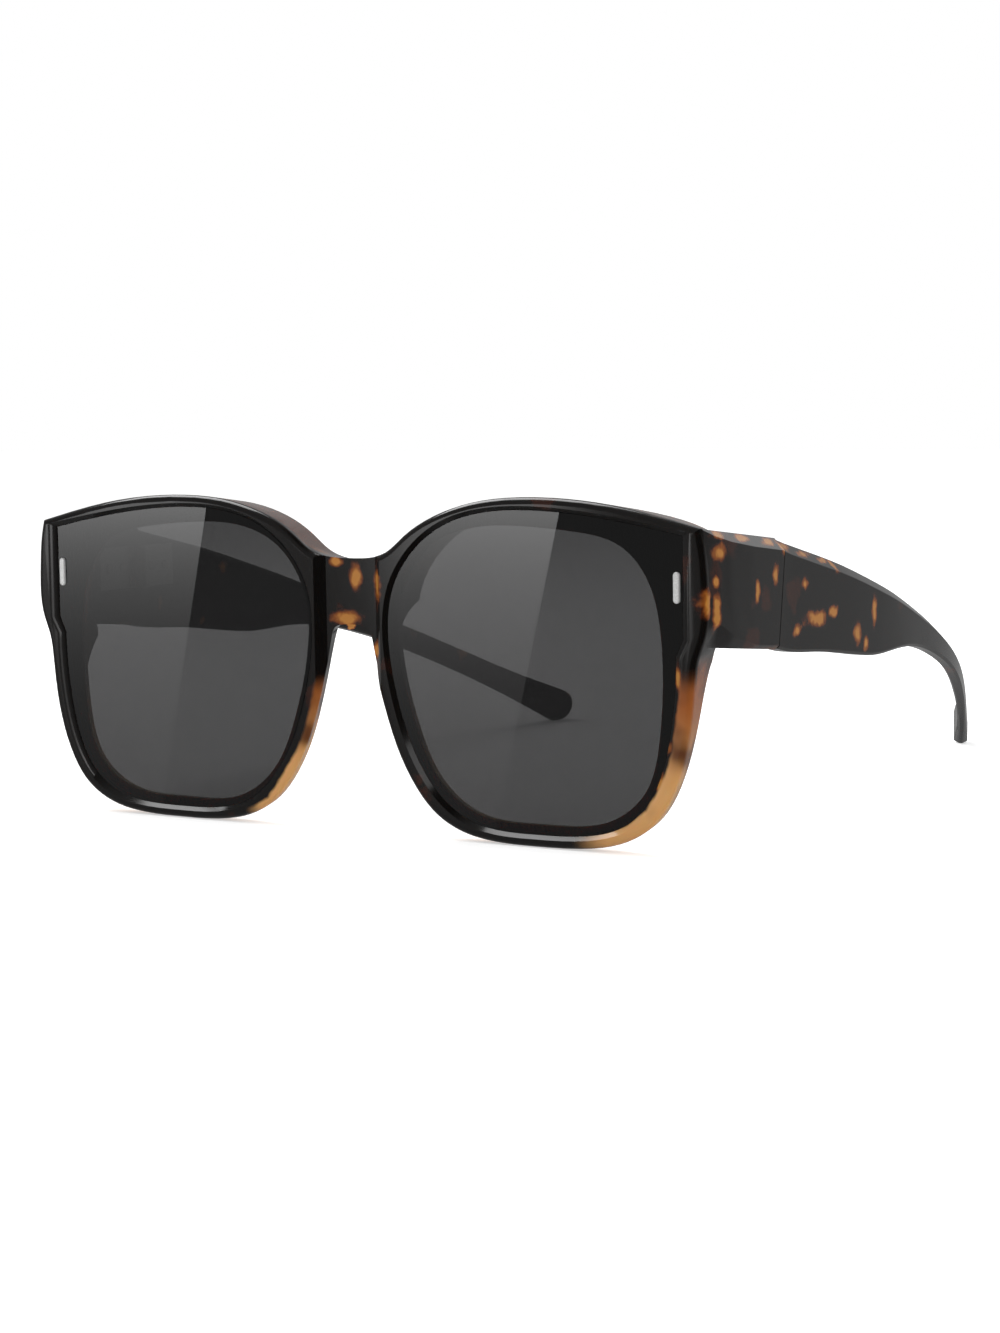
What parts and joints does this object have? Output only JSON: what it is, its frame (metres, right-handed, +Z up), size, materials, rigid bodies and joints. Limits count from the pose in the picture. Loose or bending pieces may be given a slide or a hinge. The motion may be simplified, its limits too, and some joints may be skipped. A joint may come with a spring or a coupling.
{
  "type": "fitover sunglasses",
  "caption": "Wrap-shaped fitover sunglasses: square tinted lenses in one deep-walled tortoise front, a bright bar on each outer corner, and wide temples that fold on hidden hinges.",
  "frame": {"origin": "on the surface the glasses rest on, midway between the outer faces of the side arms and midway between the rims and the temple tips", "axes": "+X towards the wearer's left, +Z up, the lenses face -Y and the temples run back towards +Y"},
  "size_m": [0.148, 0.168, 0.0611],
  "materials": {
    "frame": "polished, dark tortoise with translucent amber spots",
    "lens": "smooth, smoke grey, see-through",
    "accent": "polished",
    "hinge": "satin",
    "fastener": "satin"
  },
  "bodies": {
    "front": {"front_frame": "frame", "lens_left": "lens", "lens_right": "lens", "accent_bar_left": "accent", "accent_bar_right": "accent", "front_leaf_left": "hinge", "front_leaf_right": "hinge", "front_leaf_screws_left": "fastener", "front_leaf_screws_right": "fastener", "hinge_screw_left": "fastener", "hinge_screw_right": "fastener"},
    "temple_left": {"temple_left": "frame", "temple_leaf_left": "hinge", "temple_leaf_screws_left": "fastener"},
    "temple_right": {"temple_right": "frame", "temple_leaf_right": "hinge", "temple_leaf_screws_right": "fastener"}
  },
  "joints": [
    {"name": "temple_left_fold", "type": "hinge", "parent": "front", "child": "temple_left", "pos_m": [0.0683, -0.0567, 0.0455], "axis": [0, 0, 1], "range_deg": [0, 90]},
    {"name": "temple_right_fold", "type": "hinge", "parent": "front", "child": "temple_right", "pos_m": [-0.0683, -0.0567, 0.0455], "axis": [0, 0, -1], "range_deg": [0, 84]}
  ]
}
